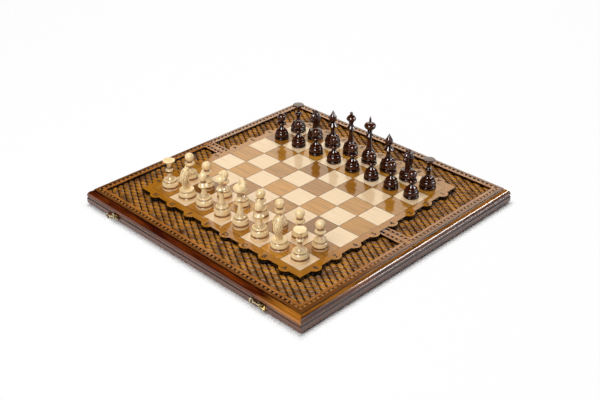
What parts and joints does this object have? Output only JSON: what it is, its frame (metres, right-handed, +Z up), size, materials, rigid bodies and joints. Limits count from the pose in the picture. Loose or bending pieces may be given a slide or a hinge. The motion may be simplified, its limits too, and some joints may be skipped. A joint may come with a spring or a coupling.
{
  "type": "folding chess and backgammon case with chessmen",
  "caption": "Carved wooden game case that opens flat to a chessboard with turned chessmen on it, and folds over two backgammon trays with brass hinges and swing hooks.",
  "frame": {"origin": "on the table under the middle of the open board, at the bottom of the felt pads", "axes": "+X along the fold, +Y from the clasp side to the keeper side, +Z up from the table"},
  "size_m": [0.5, 0.51, 0.118],
  "materials": {
    "walnut_rail": "glossy varnish",
    "walnut_carving": "carved, satin varnish",
    "field_border": "satin varnish",
    "maple_square": "satin varnish",
    "walnut_square": "satin varnish",
    "inlay_point": "satin varnish",
    "felt": "felt",
    "brass": "polished",
    "boxwood_man": "polished varnish",
    "dark_man": "high gloss varnish"
  },
  "bodies": {
    "near_half": {"near_clasp_rail": "walnut_rail", "near_hinge_rail": "walnut_rail", "near_side_rails": "walnut_rail", "near_carved_panel": "walnut_carving", "near_playing_field": "field_border", "near_light_squares": "maple_square", "near_dark_squares": "walnut_square", "near_backgammon_points": "inlay_point", "near_felt_pads": "felt", "near_hinge_leaves": "brass", "near_screws": "brass", "hinge_pins": "brass", "hook_plates": "brass", "hook_rivets": "brass"},
    "far_half": {"far_clasp_rail": "walnut_rail", "far_hinge_rail": "walnut_rail", "far_side_rails": "walnut_rail", "far_carved_panel": "walnut_carving", "far_playing_field": "field_border", "far_light_squares": "maple_square", "far_dark_squares": "walnut_square", "far_backgammon_points": "inlay_point", "far_felt_pads": "felt", "far_hinge_leaves": "brass", "far_screws": "brass", "keepers": "brass"},
    "left_clasp": {"left_hook": "brass"},
    "right_clasp": {"right_hook": "brass"},
    "white_king": {"white_king": "boxwood_man"},
    "white_queen": {"white_queen": "boxwood_man"},
    "white_bishop_1": {"white_bishop_1": "boxwood_man"},
    "white_bishop_2": {"white_bishop_2": "boxwood_man"},
    "white_knight_1": {"white_knight_1": "boxwood_man"},
    "white_knight_2": {"white_knight_2": "boxwood_man"},
    "white_rook_1": {"white_rook_1": "boxwood_man"},
    "white_rook_2": {"white_rook_2": "boxwood_man"},
    "white_pawn_1": {"white_pawn_1": "boxwood_man"},
    "white_pawn_2": {"white_pawn_2": "boxwood_man"},
    "white_pawn_3": {"white_pawn_3": "boxwood_man"},
    "white_pawn_4": {"white_pawn_4": "boxwood_man"},
    "white_pawn_5": {"white_pawn_5": "boxwood_man"},
    "white_pawn_6": {"white_pawn_6": "boxwood_man"},
    "white_pawn_7": {"white_pawn_7": "boxwood_man"},
    "white_pawn_8": {"white_pawn_8": "boxwood_man"},
    "dark_king": {"dark_king": "dark_man"},
    "dark_queen": {"dark_queen": "dark_man"},
    "dark_bishop_1": {"dark_bishop_1": "dark_man"},
    "dark_bishop_2": {"dark_bishop_2": "dark_man"},
    "dark_knight_1": {"dark_knight_1": "dark_man"},
    "dark_knight_2": {"dark_knight_2": "dark_man"},
    "dark_rook_1": {"dark_rook_1": "dark_man"},
    "dark_rook_2": {"dark_rook_2": "dark_man"},
    "dark_pawn_1": {"dark_pawn_1": "dark_man"},
    "dark_pawn_2": {"dark_pawn_2": "dark_man"},
    "dark_pawn_3": {"dark_pawn_3": "dark_man"},
    "dark_pawn_4": {"dark_pawn_4": "dark_man"},
    "dark_pawn_5": {"dark_pawn_5": "dark_man"},
    "dark_pawn_6": {"dark_pawn_6": "dark_man"},
    "dark_pawn_7": {"dark_pawn_7": "dark_man"},
    "dark_pawn_8": {"dark_pawn_8": "dark_man"}
  },
  "joints": [
    {"name": "board_fold", "type": "hinge", "parent": "near_half", "child": "far_half", "pos_m": [0, 0, 0.00135], "axis": [-1, 0, 0], "range_deg": [0, 180]},
    {"name": "clasp_left_swing", "type": "hinge", "parent": "near_half", "child": "left_clasp", "pos_m": [-0.17, -0.2521, 0.011], "axis": [0, -1, 0], "range_deg": [-60, 71.42]},
    {"name": "clasp_right_swing", "type": "hinge", "parent": "near_half", "child": "right_clasp", "pos_m": [0.1735, -0.2521, 0.011], "axis": [0, -1, 0], "range_deg": [-40, 90]},
    {"name": "lift_white_king", "type": "slide", "parent": "near_half", "child": "white_king", "axis": [0, 0, 1], "range_m": [0, 0.12]},
    {"name": "lift_white_queen", "type": "slide", "parent": "near_half", "child": "white_queen", "axis": [0, 0, 1], "range_m": [0, 0.12]},
    {"name": "lift_white_bishop_1", "type": "slide", "parent": "near_half", "child": "white_bishop_1", "axis": [0, 0, 1], "range_m": [0, 0.12]},
    {"name": "lift_white_bishop_2", "type": "slide", "parent": "near_half", "child": "white_bishop_2", "axis": [0, 0, 1], "range_m": [0, 0.12]},
    {"name": "lift_white_knight_1", "type": "slide", "parent": "near_half", "child": "white_knight_1", "axis": [0, 0, 1], "range_m": [0, 0.12]},
    {"name": "lift_white_knight_2", "type": "slide", "parent": "near_half", "child": "white_knight_2", "axis": [0, 0, 1], "range_m": [0, 0.12]},
    {"name": "lift_white_rook_1", "type": "slide", "parent": "near_half", "child": "white_rook_1", "axis": [0, 0, 1], "range_m": [0, 0.12]},
    {"name": "lift_white_rook_2", "type": "slide", "parent": "near_half", "child": "white_rook_2", "axis": [0, 0, 1], "range_m": [0, 0.12]},
    {"name": "lift_white_pawn_1", "type": "slide", "parent": "near_half", "child": "white_pawn_1", "axis": [0, 0, 1], "range_m": [0, 0.12]},
    {"name": "lift_white_pawn_2", "type": "slide", "parent": "near_half", "child": "white_pawn_2", "axis": [0, 0, 1], "range_m": [0, 0.12]},
    {"name": "lift_white_pawn_3", "type": "slide", "parent": "near_half", "child": "white_pawn_3", "axis": [0, 0, 1], "range_m": [0, 0.12]},
    {"name": "lift_white_pawn_4", "type": "slide", "parent": "near_half", "child": "white_pawn_4", "axis": [0, 0, 1], "range_m": [0, 0.12]},
    {"name": "lift_white_pawn_5", "type": "slide", "parent": "near_half", "child": "white_pawn_5", "axis": [0, 0, 1], "range_m": [0, 0.12]},
    {"name": "lift_white_pawn_6", "type": "slide", "parent": "near_half", "child": "white_pawn_6", "axis": [0, 0, 1], "range_m": [0, 0.12]},
    {"name": "lift_white_pawn_7", "type": "slide", "parent": "near_half", "child": "white_pawn_7", "axis": [0, 0, 1], "range_m": [0, 0.12]},
    {"name": "lift_white_pawn_8", "type": "slide", "parent": "near_half", "child": "white_pawn_8", "axis": [0, 0, 1], "range_m": [0, 0.12]},
    {"name": "lift_dark_king", "type": "slide", "parent": "far_half", "child": "dark_king", "axis": [0, 0, 1], "range_m": [0, 0.12]},
    {"name": "lift_dark_queen", "type": "slide", "parent": "far_half", "child": "dark_queen", "axis": [0, 0, 1], "range_m": [0, 0.12]},
    {"name": "lift_dark_bishop_1", "type": "slide", "parent": "far_half", "child": "dark_bishop_1", "axis": [0, 0, 1], "range_m": [0, 0.12]},
    {"name": "lift_dark_bishop_2", "type": "slide", "parent": "far_half", "child": "dark_bishop_2", "axis": [0, 0, 1], "range_m": [0, 0.12]},
    {"name": "lift_dark_knight_1", "type": "slide", "parent": "far_half", "child": "dark_knight_1", "axis": [0, 0, 1], "range_m": [0, 0.12]},
    {"name": "lift_dark_knight_2", "type": "slide", "parent": "far_half", "child": "dark_knight_2", "axis": [0, 0, 1], "range_m": [0, 0.12]},
    {"name": "lift_dark_rook_1", "type": "slide", "parent": "far_half", "child": "dark_rook_1", "axis": [0, 0, 1], "range_m": [0, 0.12]},
    {"name": "lift_dark_rook_2", "type": "slide", "parent": "far_half", "child": "dark_rook_2", "axis": [0, 0, 1], "range_m": [0, 0.12]},
    {"name": "lift_dark_pawn_1", "type": "slide", "parent": "far_half", "child": "dark_pawn_1", "axis": [0, 0, 1], "range_m": [0, 0.12]},
    {"name": "lift_dark_pawn_2", "type": "slide", "parent": "far_half", "child": "dark_pawn_2", "axis": [0, 0, 1], "range_m": [0, 0.12]},
    {"name": "lift_dark_pawn_3", "type": "slide", "parent": "far_half", "child": "dark_pawn_3", "axis": [0, 0, 1], "range_m": [0, 0.12]},
    {"name": "lift_dark_pawn_4", "type": "slide", "parent": "far_half", "child": "dark_pawn_4", "axis": [0, 0, 1], "range_m": [0, 0.12]},
    {"name": "lift_dark_pawn_5", "type": "slide", "parent": "far_half", "child": "dark_pawn_5", "axis": [0, 0, 1], "range_m": [0, 0.12]},
    {"name": "lift_dark_pawn_6", "type": "slide", "parent": "far_half", "child": "dark_pawn_6", "axis": [0, 0, 1], "range_m": [0, 0.12]},
    {"name": "lift_dark_pawn_7", "type": "slide", "parent": "far_half", "child": "dark_pawn_7", "axis": [0, 0, 1], "range_m": [0, 0.12]},
    {"name": "lift_dark_pawn_8", "type": "slide", "parent": "far_half", "child": "dark_pawn_8", "axis": [0, 0, 1], "range_m": [0, 0.12]}
  ]
}
